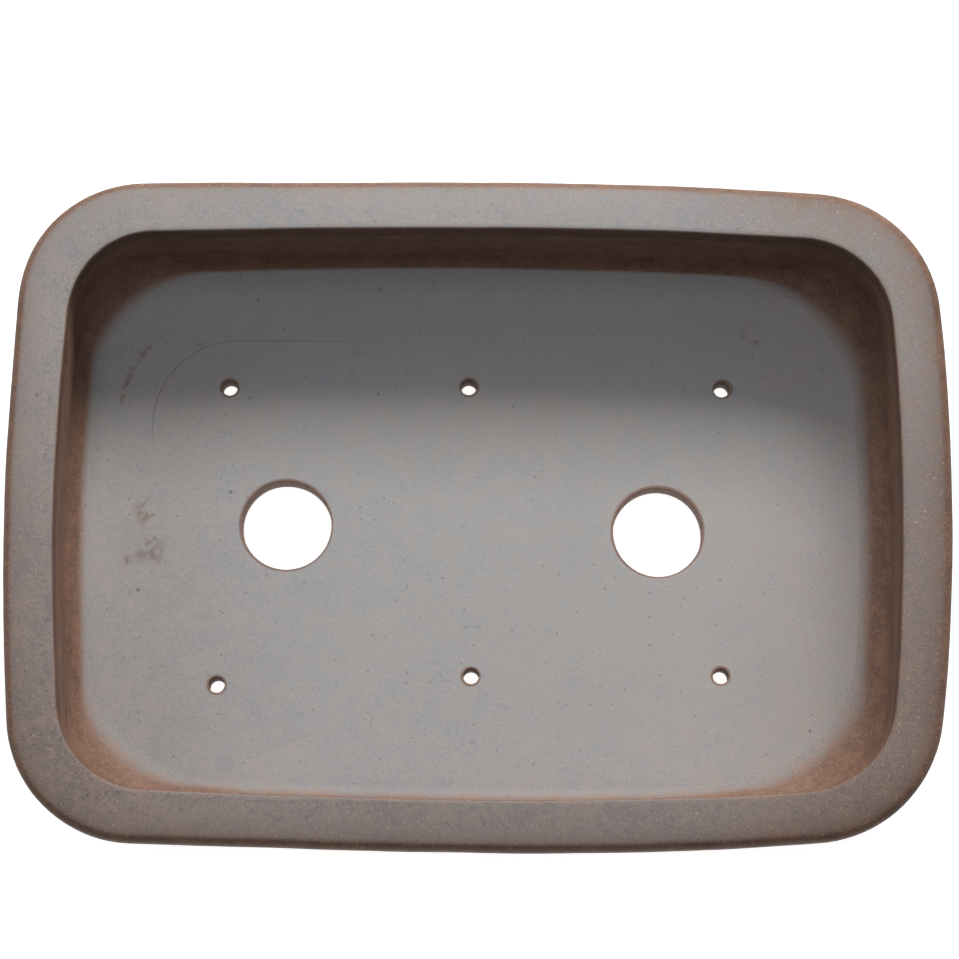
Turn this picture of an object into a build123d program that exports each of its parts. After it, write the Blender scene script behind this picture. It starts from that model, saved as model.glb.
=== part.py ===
from build123d import *
from collections import namedtuple
import math
import os

# Slab-built bonsai pot: a long soft-cornered rectangle with a broad flat lip.
# Millimetres. +Z is up, +X runs along the length and +Y points to the back.
# The origin is the middle of the footprint, on the ground under the feet.

# Outside of the lip, which is the widest part of the pot
length = 360.0
width = 258.0
corner_radius = 50.0
long_bow_radius = 2300.0     # the front and back bow out this gently
short_bow_radius = 825.0     # and the two ends a little more

# Heights, from the ground up
foot_height = 10.0
floor_thickness = 12.0
inner_depth = 52.0           # from the top of the floor to the top of the lip
lip_thickness = 11.0

# Walls and lip, measured across
lip_width = 19.2             # flat top of the lip, from its outer to its inner edge
lip_overhang = 9.2           # how far the lip stands out past the wall
body_corner_radius = 41.0    # outside corner of the wall and the floor
inner_corner_radius = 35.0   # inside corner of the wall and the lip
lip_top_round = 3.0
lip_under_round = 2.0
lip_inner_round = 1.0
floor_edge_round = 3.0

# Coil of clay pressed into the inside seam, where the walls meet the floor
coil_height = 7.5
coil_run_long = 7.5          # how far it reaches in from the front and back walls
coil_run_short = 10.5        # how far it reaches in from the end walls
coil_corner_radius = 55.0    # it is thickest in the corners
coil_ledge = 0.8             # width of the small step along its upper edge
coil_shift_x = -1.5          # pressed by hand, it is wider at the front and right
coil_shift_y = 3.0
coil_sweep = 55.0            # the slope curves through this angle, so it meets the wall at a crease
coil_steps = 5               # flat bands that make up the curve

# Holes through the floor, cut by hand: the place of each centre
drain_radius = 17.5
wire_radius = 3.1
hole_mouth_round = 0.8
drain_places = {
    "left": (-75.0, 2.5),
    "right": (70.0, 1.0),
}
wire_places = {
    "back_left": (-98.0, 57.0),
    "back_middle": (-4.0, 58.0),
    "back_right": (95.5, 58.0),
    "front_left": (-101.0, -60.5),
    "front_middle": (-2.5, -56.5),
    "front_right": (94.5, -55.5),
}

# Feet: a low bracket under each corner of the floor
foot_inset = 3.0
foot_breadth = 15.0
foot_reach_x = 78.0          # from the outside of the foot, along the length
foot_reach_y = 62.0          # and along the width
foot_round = 1.5

# Levels worked out from the heights
floor_bottom = foot_height
floor_top = floor_bottom + floor_thickness
lip_top = floor_top + inner_depth
lip_bottom = lip_top - lip_thickness

Outline = namedtuple("Outline", "half_length half_width corner long_bow short_bow shift_x shift_y")
lip_outline = Outline(length / 2, width / 2, corner_radius, long_bow_radius, short_bow_radius, 0.0, 0.0)


def inset(outline, distance, corner):
    """The same outline moved in by a distance, with its own corner radius."""
    return Outline(
        outline.half_length - distance,
        outline.half_width - distance,
        corner,
        outline.long_bow - distance,
        outline.short_bow - distance,
        outline.shift_x,
        outline.shift_y,
    )


def between(first, second, share):
    """The outline that lies a share of the way from the first to the second."""
    return Outline(*[a + (b - a) * share for a, b in zip(first, second)])


def corner_centre(outline):
    """Centre of the corner arc, which touches the long side's arc and the short side's arc."""
    long_y = outline.half_width - outline.long_bow
    short_x = outline.half_length - outline.short_bow
    from_long = outline.long_bow - outline.corner
    from_short = outline.short_bow - outline.corner
    apart = math.hypot(short_x, long_y)
    along = (from_long**2 - from_short**2 + apart**2) / (2 * apart)
    across = math.sqrt(from_long**2 - along**2)
    step_x = short_x / apart
    step_y = -long_y / apart
    return (along * step_x + across * step_y, long_y + along * step_y - across * step_x)


def soft_rectangle(outline):
    """A face bounded by four bowed sides and four corner arcs, all tangent."""
    centre_x, centre_y = corner_centre(outline)
    long_y = outline.half_width - outline.long_bow
    short_x = outline.half_length - outline.short_bow
    on_long = math.atan2(centre_y - long_y, centre_x)
    on_short = math.atan2(centre_y, centre_x - short_x)
    middle = (on_long + on_short) / 2

    def place(x, y):
        return (x + outline.shift_x, y + outline.shift_y)

    def corner_point(angle, sign_x, sign_y):
        x = centre_x + outline.corner * math.cos(angle)
        y = centre_y + outline.corner * math.sin(angle)
        return place(sign_x * x, sign_y * y)

    sides = []
    for sign_x, sign_y in ((1, 1), (-1, 1), (-1, -1), (1, -1)):
        start = corner_point(on_short, sign_x, sign_y)
        bend = corner_point(middle, sign_x, sign_y)
        end = corner_point(on_long, sign_x, sign_y)
        sides.append(ThreePointArc(start, bend, end))
    for sign in (1, -1):
        left = corner_point(on_long, -1, sign)
        right = corner_point(on_long, 1, sign)
        sides.append(ThreePointArc(left, place(0, sign * outline.half_width), right))
        low = corner_point(on_short, sign, -1)
        high = corner_point(on_short, sign, 1)
        sides.append(ThreePointArc(low, place(sign * outline.half_length, 0), high))
    return make_face(sides)


def upright(face, bottom, height):
    """The face raised to a height above a level."""
    return extrude(Pos(0, 0, bottom) * face, amount=height, dir=(0, 0, 1))


def edges_at(part, level, reach=None):
    """Edges that lie wholly at one level, and, with a reach, no farther out than it."""
    flat = [edge for edge in part.edges() if all(abs(end.Z - level) < 1e-4 for end in edge.vertices())]
    if reach is None:
        return flat
    return [edge for edge in flat if abs(edge.center().X) < reach[0] and abs(edge.center().Y) < reach[1]]


body_outline = inset(lip_outline, lip_overhang, body_corner_radius)
inner_outline = inset(lip_outline, lip_width, inner_corner_radius)


def floor_slab():
    """The bottom slab, with two drain holes and six wire holes."""
    slab = upright(soft_rectangle(body_outline), floor_bottom, floor_thickness)
    slab = fillet(edges_at(slab, floor_bottom), floor_edge_round)
    for x, y in drain_places.values():
        slab -= Pos(x, y, 0) * Cylinder(drain_radius, 4 * floor_top)
    for x, y in wire_places.values():
        slab -= Pos(x, y, 0) * Cylinder(wire_radius, 4 * floor_top)
    mouths = [edge for edge in edges_at(slab, floor_top) if edge.geom_type == GeomType.CIRCLE]
    mouths = [edge for edge in mouths if edge.radius <= drain_radius + 1e-6]
    return fillet(mouths, hole_mouth_round)


def wall_ring():
    """All four walls in one, standing on the floor and reaching up to the lip."""
    outside = upright(soft_rectangle(body_outline), floor_top, lip_bottom - floor_top)
    inside = upright(soft_rectangle(inner_outline), floor_top, lip_bottom - floor_top)
    return outside - inside


def mitre_block(*corners):
    """A block between the mitres at two neighbouring corners, given by their X and Y signs."""
    centre_x, centre_y = corner_centre(body_outline)
    near = [(side_x * centre_x, side_y * centre_y) for side_x, side_y in corners]
    far = [(side_x * (centre_x + length), side_y * (centre_y + length)) for side_x, side_y in corners]
    face = make_face(Polyline(near[0], far[0], far[1], near[1], close=True))
    return upright(face, 0, 2 * lip_top)


def rim_lip():
    """The flat lip, flush with the inside of the walls and standing out past their outside."""
    outside = upright(soft_rectangle(lip_outline), lip_bottom, lip_thickness)
    outside = fillet(edges_at(outside, lip_top), lip_top_round)
    outside = fillet(edges_at(outside, lip_bottom), lip_under_round)
    lip = outside - upright(soft_rectangle(inner_outline), lip_bottom, lip_thickness)
    reach = (inner_outline.half_length + 0.1, inner_outline.half_width + 0.1)
    return fillet(edges_at(lip, lip_top, reach), lip_inner_round)


def coil_section(angle):
    """The hollow inside the coil where its curve has turned through an angle, as a face."""
    run = math.sin(angle) / math.sin(math.radians(coil_sweep))
    rise = (1 - math.cos(angle)) / (1 - math.cos(math.radians(coil_sweep)))
    top = inset(inner_outline, coil_ledge, inner_corner_radius - coil_ledge)
    bottom = Outline(
        inner_outline.half_length - coil_run_short,
        inner_outline.half_width - coil_run_long,
        coil_corner_radius,
        inner_outline.long_bow,
        inner_outline.short_bow,
        coil_shift_x,
        coil_shift_y,
    )
    outline = between(bottom, top, run)
    return Pos(0, 0, floor_top + rise * coil_height) * soft_rectangle(outline)


def seam_coil():
    """The coil smoothed to a hollow slope from the walls down to the floor."""
    block = upright(soft_rectangle(inner_outline), floor_top, coil_height)
    angles = [math.radians(coil_sweep) * step / coil_steps for step in range(coil_steps + 1)]
    hollow = loft([coil_section(angle) for angle in angles], ruled=True)
    return block - hollow


def corner_foot(side_x, side_y):
    """A bracket foot that follows one corner of the floor."""
    foot_outline = inset(body_outline, foot_inset, body_corner_radius - foot_inset)
    inside = inset(foot_outline, foot_breadth, foot_outline.corner - foot_breadth)
    ring = upright(soft_rectangle(foot_outline), 0, foot_height)
    ring -= upright(soft_rectangle(inside), 0, foot_height)
    centre_x = side_x * (foot_outline.half_length - foot_reach_x / 2)
    centre_y = side_y * (foot_outline.half_width - foot_reach_y / 2)
    block = Pos(centre_x, centre_y, 0) * Box(foot_reach_x, foot_reach_y, 4 * foot_height)
    foot = ring & block
    return fillet(edges_at(foot, 0), foot_round)


def save(piece, name):
    """Write one piece, which has to be a single solid."""
    solid = piece.solids()[0]
    assert len(piece.solids()) == 1, name
    solid.label = name
    export_step(solid, f"parts/{name}.step")


os.makedirs("parts", exist_ok=True)
save(floor_slab(), "floor_slab")
ring = wall_ring()
save(ring & mitre_block((-1, -1), (1, -1)), "wall_front")
save(ring & mitre_block((-1, 1), (1, 1)), "wall_back")
save(ring & mitre_block((-1, -1), (-1, 1)), "wall_left")
save(ring & mitre_block((1, -1), (1, 1)), "wall_right")
save(rim_lip(), "rim_lip")
save(seam_coil(), "seam_coil")
for end, side_y in (("front", -1), ("back", 1)):
    for side, side_x in (("left", -1), ("right", 1)):
        save(corner_foot(side_x, side_y), f"foot_{end}_{side}")
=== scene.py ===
import math

import bmesh
import bpy
from mathutils import Matrix, Vector, noise


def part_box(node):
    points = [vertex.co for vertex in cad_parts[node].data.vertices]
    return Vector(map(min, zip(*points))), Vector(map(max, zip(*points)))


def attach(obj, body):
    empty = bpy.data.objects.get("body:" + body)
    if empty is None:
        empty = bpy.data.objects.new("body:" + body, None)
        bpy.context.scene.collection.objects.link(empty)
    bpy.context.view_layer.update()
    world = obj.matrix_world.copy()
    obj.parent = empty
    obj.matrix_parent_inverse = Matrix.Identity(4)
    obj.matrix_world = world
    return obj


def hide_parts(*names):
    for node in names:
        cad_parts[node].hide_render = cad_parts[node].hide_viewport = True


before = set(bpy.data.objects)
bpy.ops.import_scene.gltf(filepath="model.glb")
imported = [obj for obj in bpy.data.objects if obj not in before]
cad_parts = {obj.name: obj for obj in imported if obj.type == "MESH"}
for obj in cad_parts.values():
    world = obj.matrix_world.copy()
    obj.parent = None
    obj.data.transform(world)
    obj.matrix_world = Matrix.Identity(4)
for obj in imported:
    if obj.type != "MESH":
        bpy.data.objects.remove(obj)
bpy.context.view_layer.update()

mm = 0.001

# The pot is a stack of soft rectangles: bowed sides joined by corner arcs.
# Sizes across come from the frame; corners and bows are the potter's templates.
lipLow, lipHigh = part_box("rim_lip")
slabLow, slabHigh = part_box("floor_slab")
coilLow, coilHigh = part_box("seam_coil")
templates = {
    "lipCorner": 50 * mm,
    "bodyCorner": 41 * mm,
    "innerCorner": 35 * mm,
    "longBow": 2300 * mm,      # radius of the bow along the front and back
    "shortBow": 825 * mm,      # and along the two ends
    "longSteps": 96,           # faces along each stretch of an outline
    "shortSteps": 58,
    "cornerSteps": 20,
}
lipOutline = {
    "halfLength": lipHigh.x,
    "halfWidth": lipHigh.y,
    "corner": templates["lipCorner"],
    "longBow": templates["longBow"],
    "shortBow": templates["shortBow"],
    "shift": (0.0, 0.0),
}


def inset(outline, distance, corner):
    # the same outline moved in, with its own corner radius
    moved = dict(outline)
    for size in ("halfLength", "halfWidth", "longBow", "shortBow"):
        moved[size] = outline[size] - distance
    moved["corner"] = corner
    return moved


def between(first, second, share):
    # an outline part of the way from the first to the second
    mixed = {size: first[size] + (second[size] - first[size]) * share for size in first if size != "shift"}
    mixed["shift"] = tuple(a + (b - a) * share for a, b in zip(first["shift"], second["shift"]))
    return mixed


def cornerCentre(outline):
    # the corner arc touches the arcs of both sides from inside
    longY = outline["halfWidth"] - outline["longBow"]
    shortX = outline["halfLength"] - outline["shortBow"]
    fromLong = outline["longBow"] - outline["corner"]
    fromShort = outline["shortBow"] - outline["corner"]
    apart = math.hypot(shortX, longY)
    along = (fromLong ** 2 - fromShort ** 2 + apart ** 2) / (2 * apart)
    across = math.sqrt(fromLong ** 2 - along ** 2)
    stepX = shortX / apart
    stepY = -longY / apart
    return along * stepX + across * stepY, longY + along * stepY - across * stepX


rings = {}


def spunRing(outline):
    # one vertex spun round the eight arcs in turn, then closed; each ring is spun once
    name = repr(sorted(outline.items()))
    if name in rings:
        return rings[name]
    centreX, centreY = cornerCentre(outline)
    longY = outline["halfWidth"] - outline["longBow"]
    shortX = outline["halfLength"] - outline["shortBow"]
    endTurn = math.atan2(centreY, centreX - shortX)
    sideTurn = 2 * math.atan2(centreX, centreY - longY)
    cornerTurn = math.pi / 2 - endTurn - sideTurn / 2
    half = templates["shortSteps"] // 2
    stretches = [(shortX, 0, endTurn, half)]
    for sideX, sideY in ((1, 1), (-1, 1), (-1, -1), (1, -1)):
        stretches.append((sideX * centreX, sideY * centreY, cornerTurn, templates["cornerSteps"]))
        if sideX == sideY:
            stretches.append((0, sideY * longY, sideTurn, templates["longSteps"]))
        elif sideX < 0:
            stretches.append((-shortX, 0, 2 * endTurn, templates["shortSteps"]))
    stretches.append((shortX, 0, endTurn, half))
    mesh = bmesh.new()
    tip = first = mesh.verts.new((outline["halfLength"], 0, 0))
    for x, y, turn, steps in stretches:
        spun = bmesh.ops.spin(mesh, geom=[tip], cent=(x, y, 0), axis=(0, 0, 1), angle=turn, steps=steps)
        tip = next(item for item in spun["geom_last"] if isinstance(item, bmesh.types.BMVert))
    bmesh.ops.weld_verts(mesh, targetmap={tip: first})
    bmesh.ops.translate(mesh, verts=mesh.verts[:], vec=(*outline["shift"], 0))
    rings[name] = bpy.data.meshes.new("ring")
    mesh.to_mesh(rings[name])
    mesh.free()
    return rings[name]


def outlineLoop(mesh, outline, level):
    # adds an outline's ring to a piece at a height, and returns its edges
    known = set(mesh.edges)
    mesh.from_mesh(spunRing(outline))
    loop = [edge for edge in mesh.edges if edge not in known]
    corners = list({vertex for edge in loop for vertex in edge.verts})
    bmesh.ops.translate(mesh, verts=corners, vec=(0, 0, level))
    return loop


def skin(mesh, first, second):
    # loops in one plane can be skinned back to front, so they stand apart meanwhile
    corners = list({vertex for edge in second for vertex in edge.verts})
    bmesh.ops.translate(mesh, verts=corners, vec=(0, 0, 1))
    made = bmesh.ops.bridge_loops(mesh, edges=first + second)
    bmesh.ops.translate(mesh, verts=corners, vec=(0, 0, -1))
    ends = set(first + second)
    return [edge for edge in made["edges"] if edge not in ends]


def bridge(mesh, loops):
    # skins neighbouring loops to each other, and the last to the first
    for first, second in zip(loops, loops[1:] + loops[:1]):
        skin(mesh, first, second)


def roundEdges(mesh, edges, size, steps):
    return bmesh.ops.bevel(mesh, geom=edges, offset=size, offset_type="OFFSET", segments=steps,
                           profile=0.5, affect="EDGES", clamp_overlap=True, material=-1)


def smooth(share):
    share = min(1.0, max(0.0, share))
    return share * share * (3 - 2 * share)


# The clay was pressed and smoothed by hand, so no face is true. One drift field
# moves every piece alike, so touching faces go on touching.
handWork = {
    "seed": 3,
    "slowReach": 130 * mm,     # long lazy swings of the sides
    "slowDrift": 0.75 * mm,
    "thumbReach": 26 * mm,     # shallow thumb-sized dips
    "thumbDrift": 0.20 * mm,
    "gritReach": 7 * mm,       # the slight raggedness of every edge
    "gritDrift": 0.05 * mm,
    "calmHeight": 12 * mm,     # below this the feet are pressed flat on the board
    "cornerStart": 1.35,       # share of the length plus share of the width where a corner begins
    "cornerSpread": 0.45,
    "cornerPush": {            # how far each corner was pushed out, by right and by back
        (False, True): 2.3 * mm,
        (False, False): 1.7 * mm,
        (True, False): -1.5 * mm,
        (True, True): -0.4 * mm,
    },
}
noise.seed_set(handWork["seed"])


def drift(place):
    slow = noise.noise_vector(place / handWork["slowReach"] + Vector((3.1, 7.7, 1.3)))
    thumb = noise.noise_vector(place / handWork["thumbReach"])
    grit = noise.noise_vector(place / handWork["gritReach"])
    moved = slow * handWork["slowDrift"] + thumb * handWork["thumbDrift"] + grit * handWork["gritDrift"]
    moved.z *= 0.5 * min(1.0, max(0.0, place.z / handWork["calmHeight"]))
    cornerness = abs(place.x) / lipHigh.x + abs(place.y) / lipHigh.y
    push = handWork["cornerPush"][(place.x > 0, place.y > 0)] * math.sqrt(0.5)
    push *= smooth((cornerness - handWork["cornerStart"]) / handWork["cornerSpread"])
    return moved + Vector((math.copysign(push, place.x * push), math.copysign(push, place.y * push), 0))


def finishPiece(mesh, name, nodes, material):
    # lets the clay drift and hands the piece to the frame
    bmesh.ops.remove_doubles(mesh, verts=mesh.verts[:], dist=0.01 * mm)
    bmesh.ops.recalc_face_normals(mesh, faces=mesh.faces[:])
    for vertex in mesh.verts:
        vertex.co += drift(vertex.co)
    data = bpy.data.meshes.new(name)
    mesh.to_mesh(data)
    mesh.free()
    data.shade_smooth()
    data.set_sharp_from_angle(angle=math.radians(50))
    data.materials.append(material)
    piece = bpy.data.objects.new(name, data)
    bpy.context.collection.objects.link(piece)
    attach(piece, "root")
    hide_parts(*nodes)
    print(name, "made,", len(data.polygons), "faces")
    return piece


class Strand:
    def __init__(self, tree, socket):
        self.tree = tree
        self.socket = socket

    def make(self, kind, settings, values, output=0):
        node = self.tree.nodes.new(kind)
        for name, value in settings.items():
            setattr(node, name, value)
        for name, value in values.items():
            if isinstance(value, Strand):
                self.tree.links.new(value.socket, node.inputs[name])
            else:
                node.inputs[name].default_value = value
        return Strand(self.tree, node.outputs[output])

    def math(self, operation, first, second=0.0):
        return self.make("ShaderNodeMath", {"operation": operation}, {0: first, 1: second})

    def __add__(self, other):
        return self.math("ADD", self, other)

    def __radd__(self, other):
        return self.math("ADD", other, self)

    def __sub__(self, other):
        return self.math("SUBTRACT", self, other)

    def __rsub__(self, other):
        return self.math("SUBTRACT", other, self)

    def __mul__(self, other):
        return self.math("MULTIPLY", self, other)

    def __rmul__(self, other):
        return self.math("MULTIPLY", other, self)

    def __abs__(self):
        return self.math("ABSOLUTE", self)

    def above(self, limit):
        return self.math("MAXIMUM", self, limit)

    def below(self, limit):
        return self.math("MINIMUM", self, limit)

    def fade(self, low, high):
        # 0 below low, 1 above high, smooth between
        return self.make("ShaderNodeMapRange", {"interpolation_type": "SMOOTHSTEP"},
                         {"Value": self, "From Min": low, "From Max": high})

    def mixed(self, first, second):
        # a colour part of the way from the first to the second, by this value
        return self.make("ShaderNodeMix", {"data_type": "RGBA"}, {0: self, 6: first, 7: second}, 2)

    def scaled(self, amount):
        return self.make("ShaderNodeVectorMath", {"operation": "SCALE"}, {0: self, "Scale": amount})

    def cloud(self, size, detail, rough=0.5, stretch=(1, 1, 1)):
        # soft noise about a half, with features of a size
        spread = self.make("ShaderNodeMapping", {}, {"Vector": self, "Scale": stretch})
        return self.make("ShaderNodeTexNoise", {}, {"Vector": spread, "Scale": 1 / size, "Detail": detail,
                                                    "Roughness": rough})

    def spots(self, spacing, size, share):
        # round spots up to a size across, in a share of cells this far apart
        cells = {"Vector": self, "Scale": 1 / spacing}
        away = self.make("ShaderNodeTexVoronoi", {}, cells)
        colour = self.make("ShaderNodeTexVoronoi", {}, cells, "Color")
        chance = self.make("ShaderNodeSeparateColor", {}, {0: colour}, 0)
        reach = size / spacing / 2
        pick = (chance + share - 1.0).fade(0, 0.12)
        return (pick * (0.5 + 0.5 * chance) * (1.4 * reach) - away).fade(0, 0.4 * reach)


clay = {
    "brown": (0.205, 0.117, 0.080, 1),        # the fired body, where no bloom settled
    "darkBrown": (0.124, 0.066, 0.045, 1),
    "rust": (0.250, 0.150, 0.104, 1),         # along the bloom's edge
    "blueGrey": (0.252, 0.256, 0.268, 1),     # the bloom on level clay
    "pinkGrey": (0.280, 0.260, 0.251, 1),
    "tan": (0.50, 0.32, 0.20, 1),             # grog that shows at the surface
    "iron": (0.050, 0.048, 0.052, 1),         # burnt-out pits
    "patchSize": 8 * mm,
    "grainSize": 0.55 * mm,
    "coverStart": -130 * mm,                  # from here to there the cover thickens
    "coverEnd": 120 * mm,
    "endStart": 60 * mm,                      # and it thins towards both ends, as painted shade
    "endStop": 145 * mm,
    "endThinning": 0.15,
    "raggedTilt": math.radians(14),
    "roughness": 0.60,
}


def placeDistance(place, point):
    # how far the clay is from a point on top of the floor
    return place.make("ShaderNodeVectorMath", {"operation": "DISTANCE"},
                      {0: place, 1: (*point, slabHigh.z)}, "Value")


def makeMarks(place, x, y, plan):
    # strengths of the floor's hairline, of its scuff and stains, and of the bare clay round its holes
    across = (plan["grooveCentre"][0] - x).above(0)
    along = (y - plan["grooveCentre"][1]).above(0)
    turned = place.math("SQRT", across * across + along * along)
    hair = 1 - abs(turned - plan["grooveRadius"]).fade(0, plan["grooveWidth"])
    hair = hair * (1 - x.fade(-80 * mm, -25 * mm)) * y.fade(28 * mm, 48 * mm)
    blotch = place.cloud(4 * mm, 3, 0.6)
    scuff = 1 - abs(turned - plan["scuffRadius"]).fade(0, plan["scuffWidth"])
    scuff = scuff * across.fade(28 * mm, 34 * mm) * along.fade(4 * mm, 12 * mm)
    stained = scuff * blotch.fade(0.42, 0.56)
    for stainX, stainY, reach in plan["stains"]:
        away = placeDistance(place, (stainX, stainY))
        stained = stained.above((1 - away.fade(0.2 * reach, reach)) * blotch.fade(0.44, 0.66))
    rings = [(hole, plan["drainRadius"]) for hole in plan["drains"]]
    rings += [(hole, plan["wireRadius"]) for hole in plan["wires"]]
    bare = 1 - placeDistance(place, rings[0][0]).fade(0, rings[0][1])
    for hole, radius in rings:
        away = placeDistance(place, hole)
        bare = bare.above(1 - away.fade(radius + plan["bareFrom"], radius + plan["bareTo"]))
    return hair, stained, bare


def makeFiredClay(name, finish):
    # brown clay with a grey bloom on whatever lay level in the kiln
    material = bpy.data.materials.new(name)
    material.use_nodes = True
    tree = material.node_tree
    tree.nodes.clear()
    start = Strand(tree, None)
    place = start.make("ShaderNodeTexCoord", {}, {}, "Object")
    x = start.make("ShaderNodeSeparateXYZ", {}, {0: place}, 0)
    y = start.make("ShaderNodeSeparateXYZ", {}, {0: place}, 1)
    normal = start.make("ShaderNodeNewGeometry", {}, {}, "Normal")
    level = start.make("ShaderNodeSeparateXYZ", {}, {0: normal}, 2)
    leanX = start.make("ShaderNodeSeparateXYZ", {}, {0: normal}, 0)
    leanY = start.make("ShaderNodeSeparateXYZ", {}, {0: normal}, 1)

    patch = place.cloud(clay["patchSize"], 4, 0.6)
    broad = place.cloud(60 * mm, 2)
    fine = place.cloud(2.2 * mm, 3, 0.6)
    grain = place.cloud(clay["grainSize"], 3, 0.7)
    streak = place.cloud(24 * mm, 4, 0.6, (1, 1, 6))
    hair = stained = bare = None
    if "stains" in finish:
        hair, stained, bare = makeMarks(place, x, y, finish)

    # how much bloom lies here: by how level it is, and then by where on the pot
    # painted highlight: slopes that face inwards, such as the lip's inner rounding, keep their grey as if
    # catching the light
    inwardHighlight = 1 - (leanX * x + leanY * y).fade(-20 * mm, 0)
    tilt = level.math("ARCCOSINE", level.below(1)) * (1 - inwardHighlight * finish["innerKeep"])
    tilt = tilt + (patch - 0.5) * clay["raggedTilt"] + (fine - 0.5) * clay["raggedTilt"]
    tilt = tilt + x.fade(clay["endStart"], clay["endStop"]) * finish["rightLean"]
    cover = finish["coverFront"] + (finish["coverBack"] - finish["coverFront"]) * y.fade(
        clay["coverStart"], clay["coverEnd"])
    # painted shade: less bloom, so darker clay, towards both ends
    cover = cover - abs(x).fade(clay["endStart"], clay["endStop"]) * clay["endThinning"]
    cover = cover + (broad - 0.5) * 0.3 + (patch - 0.5) * 0.25 + (fine - 0.5) * 0.4 + (grain - 0.5) * 0.7
    bloom = (1 - tilt.fade(finish["bloomTilt"], finish["bareTilt"])) * cover.above(0).below(1)
    if bare:
        bloom = bloom * (1 - bare * 0.85)

    blush = (patch * 0.6 + fine * 0.4 + (grain - 0.5) * 0.6 + (broad - 0.5) * 0.4).fade(0.41, 0.58)
    grey = blush.mixed(clay["blueGrey"], clay["pinkGrey"])
    brown = (streak * 0.3 + fine * 0.3 + patch * 0.4 + (grain - 0.5) * 0.6).fade(0.36, 0.64)
    brown = brown.mixed(clay["darkBrown"], clay["brown"])
    rubbed = (bloom * (1 - bloom) * 4).fade(0.2, 1.3)
    brown = (rubbed * 0.2).mixed(brown, clay["rust"])
    darker = finish["slopeBrown"] - finish["levelBrown"]
    brown = brown.scaled(finish["slopeBrown"] - level.fade(0.94, 0.995) * darker)
    colour = bloom.mixed(brown, grey).scaled(finish["tone"] * (0.84 + 0.32 * grain))

    faint = place.spots(4.5 * mm, 1.0 * mm, 0.55)
    deep = place.spots(12 * mm, 1.3 * mm, 0.40)
    pit = faint * 0.30 + deep * 0.55
    colour = (pit.below(0.85) * (0.25 + 0.75 * bloom)).mixed(colour, clay["iron"])
    speck = place.spots(3.6 * mm, 0.9 * mm, finish["specks"] * 0.6 + (1 - bloom) * 0.08)
    crumb = place.spots(1.3 * mm, 0.55 * mm, finish["specks"] + (1 - bloom) * 0.30)
    speck = speck.above(crumb * 0.8)
    colour = (speck * 0.36).mixed(colour, clay["tan"])
    if stained:
        colour = (stained * 0.55).mixed(colour, clay["darkBrown"])

    rough = clay["roughness"] + (grain - 0.5) * 0.2 + (1 - bloom) * 0.08
    height = grain * 0.6 + fine * 0.7 + streak * 0.4 - pit * 1.6 + speck * 0.35
    if hair:
        colour = (hair * 0.4).mixed(colour, clay["iron"])
        height = height - hair * 1.2
    bump = start.make("ShaderNodeBump", {}, {"Strength": 0.35, "Distance": 0.25 * mm, "Height": height})
    shader = start.make("ShaderNodeBsdfPrincipled", {}, {
        "Base Color": colour, "Roughness": rough, "Normal": bump, "Specular IOR Level": 0.4})
    output = tree.nodes.new("ShaderNodeOutputMaterial")
    tree.links.new(shader.socket, output.inputs["Surface"])
    print(name, "mixed")
    return material


floorPlan = {
    "gridLength": 290 * mm,
    "gridWidth": 195 * mm,
    "cell": 2.5 * mm,
    "mouthRound": 0.8 * mm,
    "edgeRound": 3 * mm,
    "drainRadius": 17.5 * mm,
    "drains": [(-75.0 * mm, 2.5 * mm), (70.0 * mm, 1.0 * mm)],
    "wireRadius": 3.1 * mm,
    "wires": [(-98.0 * mm, 57.0 * mm), (-4.0 * mm, 58.0 * mm), (95.5 * mm, 58.0 * mm),
              (-101.0 * mm, -60.5 * mm), (-2.5 * mm, -56.5 * mm), (94.5 * mm, -55.5 * mm)],
    "bloomTilt": 0,
    "bareTilt": math.radians(33),
    "coverBack": 1.1,
    "coverFront": 1.0,
    "innerKeep": 0,
    "rightLean": math.radians(6),
    "slopeBrown": 1.0,
    "levelBrown": 0.9,
    "tone": 1.05,
    "specks": 0.05,
    "grooveCentre": (-94 * mm, 42 * mm),   # a template's hairline turns round this point
    "grooveRadius": 34 * mm,
    "grooveWidth": 0.4 * mm,
    "scuffRadius": 47.5 * mm,              # and a scuff lies outside it
    "scuffWidth": 2.2 * mm,
    "bareFrom": 0.5 * mm,                  # the clay is bare this far round the holes
    "bareTo": 1.3 * mm,
    "stains": [(-129 * mm, 7 * mm, 9 * mm), (-128 * mm, -8 * mm, 9 * mm), (-137 * mm, -12 * mm, 4 * mm),
               (-48 * mm, 72 * mm, 3 * mm), (-110 * mm, 75 * mm, 3 * mm), (108 * mm, 80 * mm, 8 * mm)],
}
lipOverhang = lipHigh.x - slabHigh.x
lipWidth = lipHigh.x - coilHigh.x
bodyOutline = inset(lipOutline, lipOverhang, templates["bodyCorner"])
innerOutline = inset(lipOutline, lipWidth, templates["innerCorner"])


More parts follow.
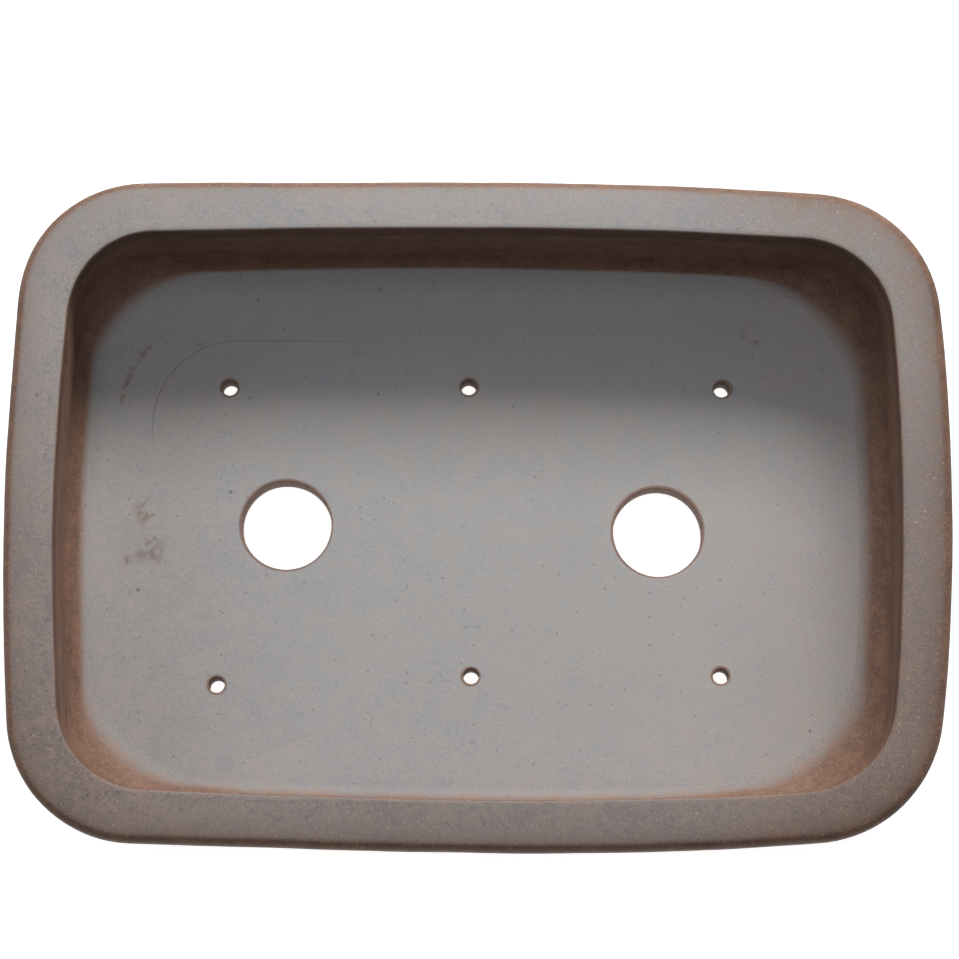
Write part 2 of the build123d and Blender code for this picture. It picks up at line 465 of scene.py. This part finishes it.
def openHole(mesh, centre, radius, cells):
    # lifts a square of cells out of the grid and bridges its edge to a circle
    cell = floorPlan["cell"]
    snapped = Vector((round(centre[0] / cell) * cell, round(centre[1] / cell) * cell, 0))
    reach = cells * cell / 2

    def inSquare(face):
        middle = face.calc_center_median() - snapped
        return max(abs(middle.x), abs(middle.y)) < reach

    bmesh.ops.delete(mesh, geom=[face for face in mesh.faces if inSquare(face)], context="FACES")
    margin = reach + cell * 0.1
    rimEdges = [edge for edge in mesh.edges if len(edge.link_faces) == 1
                and all(max(abs(v.co.x - snapped.x), abs(v.co.y - snapped.y)) < margin for v in edge.verts)]
    circle = bmesh.ops.create_circle(mesh, radius=radius, segments=4 * cells,
                                     matrix=Matrix.Translation((*centre, 0)))
    ring = list({edge for vertex in circle["verts"] for edge in vertex.link_edges})
    bmesh.ops.subdivide_edges(mesh, edges=skin(mesh, rimEdges, ring), cuts=2, use_grid_fill=True)
    return ring


def makeFloor():
    mesh = bmesh.new()
    cell = floorPlan["cell"]
    across = round(floorPlan["gridLength"] / cell)
    deep = round(floorPlan["gridWidth"] / cell)
    bmesh.ops.create_grid(mesh, x_segments=across, y_segments=deep, size=0.5)
    bmesh.ops.scale(mesh, vec=(across * cell, deep * cell, 1), verts=mesh.verts[:])
    rimEdges = [edge for edge in mesh.edges if edge.is_boundary]
    outer = outlineLoop(mesh, bodyOutline, 0)
    bmesh.ops.subdivide_edges(mesh, edges=skin(mesh, rimEdges, outer), cuts=3, use_grid_fill=True)
    mouths = []
    for centre in floorPlan["drains"]:
        mouths += openHole(mesh, centre, floorPlan["drainRadius"], 16)
    for centre in floorPlan["wires"]:
        mouths += openHole(mesh, centre, floorPlan["wireRadius"], 4)
    bmesh.ops.translate(mesh, verts=mesh.verts[:], vec=(0, 0, slabHigh.z))
    under = bmesh.ops.extrude_face_region(mesh, geom=mesh.faces[:])
    lowered = [item for item in under["geom"] if isinstance(item, bmesh.types.BMVert)]
    bmesh.ops.translate(mesh, verts=lowered, vec=(0, 0, slabLow.z - slabHigh.z))
    bmesh.ops.recalc_face_normals(mesh, faces=mesh.faces[:])
    inside = inset(bodyOutline, 8 * mm, bodyOutline["corner"])
    skirt = [edge for edge in mesh.edges if edge.calc_face_angle(0) > 1
             and all(v.co.z < slabLow.z + mm and outside(v.co, inside) for v in edge.verts)]
    roundEdges(mesh, mouths, floorPlan["mouthRound"], 4)
    roundEdges(mesh, skirt, floorPlan["edgeRound"], 4)
    return finishPiece(mesh, "floorSlab", ["floor_slab"], makeFiredClay("floorClay", floorPlan))


def outside(place, outline):
    # whether a point lies beyond an outline's sides
    centreX, centreY = cornerCentre(outline)
    x = abs(place.x) - centreX
    y = abs(place.y) - centreY
    if x > 0 and y > 0:
        return math.hypot(x, y) > outline["corner"]
    return x > outline["halfLength"] - centreX or y > outline["halfWidth"] - centreY


lip = {
    "topRound": 3 * mm,
    "underRound": 2 * mm,
    "innerRound": 1 * mm,
    "outerDrop": 1.5 * mm,     # the top falls away towards its outer edge
    "shares": (0.2, 0.3, 0.42, 0.56, 0.72, 0.88),
    "bloomTilt": 0,
    "bareTilt": math.radians(29),
    "coverBack": 0.92,
    "coverFront": 0.50,
    "innerKeep": 0.65,         # painted highlight: the inner edge's rounding keeps its grey bloom as if catching the light, the outer one is rubbed bare
    "rightLean": math.radians(8),
    "slopeBrown": 0.9,
    "levelBrown": 0.75,
    "tone": 0.92,
    "specks": 0.20,
}


def makeLip():
    mesh = bmesh.new()
    top = lipHigh.z
    under = lipLow.z
    outerTop = outlineLoop(mesh, lipOutline, top - lip["outerDrop"])
    loops = [outlineLoop(mesh, lipOutline, under), outerTop]
    for share in lip["shares"]:
        fall = lip["outerDrop"] * (1 - share) ** 3
        loops.append(outlineLoop(mesh, between(lipOutline, innerOutline, share), top - fall))
    innerTop = outlineLoop(mesh, innerOutline, top)
    loops += [innerTop, outlineLoop(mesh, innerOutline, (top + under) / 2)]
    loops += [outlineLoop(mesh, innerOutline, under), outlineLoop(mesh, bodyOutline, under)]
    bridge(mesh, loops)
    roundEdges(mesh, outerTop, lip["topRound"], 6)
    roundEdges(mesh, innerTop, lip["innerRound"], 3)
    roundEdges(mesh, loops[0], lip["underRound"], 4)
    return finishPiece(mesh, "rimLip", ["rim_lip"], makeFiredClay("lipClay", lip))


walls = {
    "bands": 9,                # faces up the height of a wall
    "bloomTilt": 0,
    "bareTilt": math.radians(33),
    "coverBack": 0.9,
    "coverFront": 0.9,
    "innerKeep": 0,
    "rightLean": 0,
    "slopeBrown": 1.1,
    "levelBrown": 1.1,
    "tone": 1.1,
    "specks": 0.08,
    "names": {"wall_front": ((-1, -1), (1, -1)), "wall_back": ((1, 1), (-1, 1)),
              "wall_left": ((-1, 1), (-1, -1)), "wall_right": ((1, -1), (1, 1))},
}


def cutAway(mesh, place, across, capped):
    # removes what lies beyond a plane, and caps the cut
    cut = bmesh.ops.bisect_plane(mesh, geom=mesh.verts[:] + mesh.edges[:] + mesh.faces[:],
                                 plane_co=place, plane_no=across, clear_outer=True)
    if capped:
        rim = [item for item in cut["geom_cut"] if isinstance(item, bmesh.types.BMEdge)]
        bmesh.ops.edgeloop_fill(mesh, edges=rim)


def makeWall(node, corners, material):
    # a ring of wall cut at the mitres through two neighbouring corners
    mesh = bmesh.new()
    low = slabHigh.z
    high = lipLow.z
    levels = [low + (high - low) * step / walls["bands"] for step in range(walls["bands"] + 1)]
    loops = [outlineLoop(mesh, bodyOutline, level) for level in levels]
    loops += [outlineLoop(mesh, innerOutline, level) for level in reversed(levels)]
    bridge(mesh, loops)
    centreX, centreY = cornerCentre(bodyOutline)
    first, second = (Vector((*corner, 0)) for corner in corners)
    cutAway(mesh, (0, 0, 0), -(first + second), False)
    # the kept side lies anticlockwise of the first mitre and clockwise of the second
    for corner, turn in ((first, -1), (second, 1)):
        across = Vector((-corner.y, corner.x, 0)) * turn
        cutAway(mesh, (corner.x * centreX, corner.y * centreY, 0), across, True)
    piece = node.split("_")[1].capitalize()
    return finishPiece(mesh, "wall" + piece, [node], material)


coil = {
    "sweep": math.radians(55),
    "bands": 10,
    "runLong": 7.5 * mm,
    "runShort": 10.5 * mm,
    "corner": 55 * mm,
    "shift": (-1.5 * mm, 3.0 * mm),
    "cornerRise": 9 * mm,      # it is pressed higher up the wall in the corners
    "bloomTilt": math.radians(5),
    "bareTilt": math.radians(40),
    "coverBack": 1.1,
    "coverFront": 1.0,
    "innerKeep": 0,
    "rightLean": math.radians(12),
    "slopeBrown": 0.98,
    "levelBrown": 0.9,
    "tone": 0.99,
    "specks": 0.05,
}


def makeCoil():
    # a slope that curves from the floor up to the walls, and meets them at a crease
    mesh = bmesh.new()
    foot = dict(innerOutline)
    foot["halfLength"] = innerOutline["halfLength"] - coil["runShort"]
    foot["halfWidth"] = innerOutline["halfWidth"] - coil["runLong"]
    foot["corner"] = coil["corner"]
    foot["shift"] = coil["shift"]
    low = slabHigh.z
    high = coilHigh.z
    loops = []
    for step in range(coil["bands"] + 1):
        angle = coil["sweep"] * step / coil["bands"]
        run = math.sin(angle) / math.sin(coil["sweep"])
        rise = (1 - math.cos(angle)) / (1 - math.cos(coil["sweep"]))
        loops.append(outlineLoop(mesh, between(foot, innerOutline, run), low + rise * (high - low)))
    loops.append(outlineLoop(mesh, innerOutline, low))
    bridge(mesh, loops)
    for vertex in mesh.verts:
        rise = (vertex.co.z - low) / (high - low)
        reach = min(abs(vertex.co.x) / innerOutline["halfLength"], abs(vertex.co.y) / innerOutline["halfWidth"])
        vertex.co.z += coil["cornerRise"] * rise * smooth((reach - 0.55) / 0.3)
    return finishPiece(mesh, "seamCoil", ["seam_coil"], makeFiredClay("coilClay", coil))


feet = {
    "inset": 3 * mm,
    "breadth": 15 * mm,
    "round": 1.5 * mm,
    "bloomTilt": 0,
    "bareTilt": math.radians(33),
    "coverBack": 0.9,
    "coverFront": 0.9,
    "innerKeep": 0,
    "rightLean": 0,
    "slopeBrown": 1.1,
    "levelBrown": 1.1,
    "tone": 1.1,
    "specks": 0.08,
}


def makeFoot(node, material):
    # a ring under the floor cut down to one corner
    mesh = bmesh.new()
    low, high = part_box(node)
    outer = inset(bodyOutline, feet["inset"], bodyOutline["corner"] - feet["inset"])
    inner = inset(outer, feet["breadth"], outer["corner"] - feet["breadth"])
    loops = []
    for share in (0, 0.35, 0.7, 1):
        loops.append(outlineLoop(mesh, outer, low.z + (high.z - low.z) * share))
    for share in (1, 0.7, 0.35, 0):
        loops.append(outlineLoop(mesh, inner, low.z + (high.z - low.z) * share))
    bridge(mesh, loops)
    endX = low.x if low.x > 0 else high.x
    endY = low.y if low.y > 0 else high.y
    cutAway(mesh, (0, 0, 0), (-endX, 0, 0), False)
    cutAway(mesh, (0, 0, 0), (0, -endY, 0), False)
    cutAway(mesh, (endX, 0, 0), (-endX, 0, 0), True)
    cutAway(mesh, (0, endY, 0), (0, -endY, 0), True)
    bmesh.ops.recalc_face_normals(mesh, faces=mesh.faces[:])
    worn = [edge for edge in mesh.edges if edge.is_manifold and edge.calc_face_angle(0) > 1
            and min(v.co.z for v in edge.verts) < high.z - 0.1 * mm]
    roundEdges(mesh, worn, feet["round"], 4)
    name = "foot" + "".join(word.capitalize() for word in node.split("_")[1:])
    return finishPiece(mesh, name, [node], material)


makeFloor()
makeLip()
wallClay = makeFiredClay("wallClay", walls)
for node, corners in walls["names"].items():
    makeWall(node, corners, wallClay)
makeCoil()
footClay = makeFiredClay("footClay", feet)
for node in sorted(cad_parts):
    if node.startswith("foot"):
        makeFoot(node, footClay)


studio = {
    "tableSize": 6.0,
    "tableGlow": 0.93,
    "tableShade": 0.35,
    "sky": 0.09,
    "skyTint": (0.96, 0.98, 1.0, 1),
    "keyHeight": math.radians(35),
    "keyTurn": math.radians(14),   # round from the back towards the right
    "keyReach": 1.9,
    "keyWidth": 0.9,
    "keyDepth": 0.52,
    "keyPower": 49,
    "keyTint": (1.0, 0.97, 0.925),
    "overheadReach": 2.2,
    "overheadSize": 1.5,
    "overheadPower": 15.5,
    "overheadTint": (0.94, 0.97, 1.0),
    "fillHeight": math.radians(30),
    "fillTurn": math.radians(-50),     # from the back left
    "fillReach": 2.0,
    "fillWidth": 1.2,
    "fillDepth": 0.8,
    "fillPower": 11,
    "fillTint": (0.98, 0.985, 1.0),
    "tilt": math.radians(10.33),
    "roll": math.radians(0.45),
    "distance": 1.608,
    "lens": 159.4,
    "aim": (0.42 * mm, 11.7 * mm),
}


def makeTable():
    mesh = bmesh.new()
    bmesh.ops.create_grid(mesh, x_segments=1, y_segments=1, size=studio["tableSize"] / 2)
    data = bpy.data.meshes.new("table")
    mesh.to_mesh(data)
    mesh.free()
    table = bpy.data.objects.new("table", data)
    bpy.context.collection.objects.link(table)
    material = bpy.data.materials.new("paleTable")
    material.use_nodes = True
    shader = material.node_tree.nodes["Principled BSDF"]
    shader.inputs["Base Color"].default_value = (*[studio["tableShade"]] * 3, 1)
    shader.inputs["Roughness"].default_value = 0.9
    shader.inputs["Emission Color"].default_value = (1, 1, 1, 1)
    shader.inputs["Emission Strength"].default_value = studio["tableGlow"]
    data.materials.append(material)


def makeSky():
    world = bpy.data.worlds.new("studio")
    bpy.context.scene.world = world
    world.use_nodes = True
    backdrop = world.node_tree.nodes["Background"]
    backdrop.inputs["Color"].default_value = studio["skyTint"]
    backdrop.inputs["Strength"].default_value = studio["sky"]


def makeSoftbox(name, width, depth, height, turn):
    # a rectangular lamp that faces the pot, placed by its height and its turn from the back
    light = bpy.data.lights.new(name, "AREA")
    light.shape = "RECTANGLE"
    light.size = width
    light.size_y = depth
    light.energy = studio[name + "Power"]
    light.color = studio[name + "Tint"]
    flat = math.cos(height)
    towards = Vector((math.sin(turn) * flat, math.cos(turn) * flat, math.sin(height)))
    lamp = bpy.data.objects.new(name, light)
    lamp.location = towards * studio[name + "Reach"]
    lamp.rotation_euler = towards.to_track_quat("Z", "Y").to_euler()
    bpy.context.collection.objects.link(lamp)


def makeLights():
    makeSky()
    makeSoftbox("key", studio["keyWidth"], studio["keyDepth"], studio["keyHeight"], studio["keyTurn"])
    makeSoftbox("fill", studio["fillWidth"], studio["fillDepth"], studio["fillHeight"], studio["fillTurn"])
    makeSoftbox("overhead", studio["overheadSize"], studio["overheadSize"], math.pi / 2, 0)


def makeCamera():
    lens = bpy.data.cameras.new("camera")
    lens.lens = studio["lens"]
    lens.sensor_width = 36
    lens.clip_end = 20
    camera = bpy.data.objects.new("camera", lens)
    camera.rotation_euler = (studio["tilt"], 0, studio["roll"])
    back = camera.rotation_euler.to_matrix() @ Vector((0, 0, studio["distance"]))
    camera.location = Vector((*studio["aim"], lipHigh.z)) + back
    bpy.context.collection.objects.link(camera)
    bpy.context.scene.camera = camera


makeTable()
makeLights()
makeCamera()
bpy.context.scene.view_settings.view_transform = "Standard"
print("studio set")
